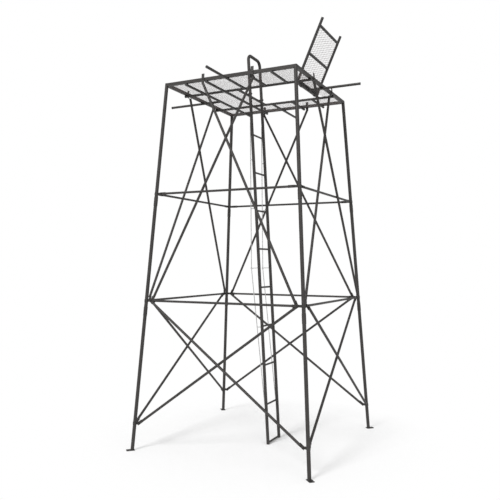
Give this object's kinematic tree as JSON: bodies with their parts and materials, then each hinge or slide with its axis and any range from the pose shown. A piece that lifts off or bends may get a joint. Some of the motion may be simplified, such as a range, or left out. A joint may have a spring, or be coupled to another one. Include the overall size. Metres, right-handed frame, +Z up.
{
  "type": "hunting tower stand",
  "caption": "Open steel quadrupod hunting tower: four leaning legs, two rings, X braces, a mesh deck with a hinged hatch, and a leaning ladder with a grab hoop",
  "frame": {"origin": "on the ground under the centre of the deck", "axes": "+Z up; -Y is the front face; +X is the side where the open hatch leans out; the ladder's rungs run along Y"},
  "size_m": [2.208, 2.208, 4.232],
  "materials": {
    "frame_steel": "dark grey-brown powder coat, satin",
    "bracket_steel": "dark powder coat, satin",
    "hatch_steel": "near-black powder coat, satin",
    "deck_mesh": "expanded metal, light brown-grey coat",
    "rod_steel": "plain zinc-coated rod",
    "cap_black": "black moulded plastic",
    "bolt_black": "black oxide bolts and nuts"
  },
  "bodies": {
    "tower": {"leg_front_left": "frame_steel", "leg_front_right": "frame_steel", "leg_back_right": "frame_steel", "leg_back_left": "frame_steel", "foot_plates": "bracket_steel", "leg_brackets": "bracket_steel", "lower_ring": "frame_steel", "upper_ring": "frame_steel", "lower_brace_front_a": "frame_steel", "lower_brace_front_b": "frame_steel", "lower_brace_right_a": "frame_steel", "lower_brace_right_b": "frame_steel", "lower_brace_back_a": "frame_steel", "lower_brace_back_b": "frame_steel", "lower_brace_left_a": "frame_steel", "lower_brace_left_b": "frame_steel", "upper_brace_front_a": "frame_steel", "upper_brace_front_b": "frame_steel", "upper_brace_right_a": "frame_steel", "upper_brace_right_b": "frame_steel", "upper_brace_back_a": "frame_steel", "upper_brace_back_b": "frame_steel", "upper_brace_left_a": "frame_steel", "upper_brace_left_b": "frame_steel", "rim_front": "frame_steel", "rim_right": "frame_steel", "rim_back": "frame_steel", "rim_left": "frame_steel", "joists": "frame_steel", "cross_bars": "frame_steel", "deck_front": "deck_mesh", "deck_back": "deck_mesh", "deck_left": "deck_mesh", "deck_right": "deck_mesh", "hatch_hinges": "bracket_steel", "ladder_rails": "frame_steel", "grab_hoop": "frame_steel", "ladder_rungs": "frame_steel", "truss_rods": "rod_steel", "outrigger_arms": "frame_steel", "tube_caps": "cap_black", "bolts": "bolt_black"},
    "hatch": {"hatch_rails": "hatch_steel", "hatch_bars": "hatch_steel", "hatch_mesh": "deck_mesh"}
  },
  "joints": [
    {"name": "hatch_swing", "type": "hinge", "parent": "tower", "child": "hatch", "pos_m": [0.554, 0, 3.6469], "axis": [0, -1, 0], "range_deg": [0, 114.15]}
  ]
}
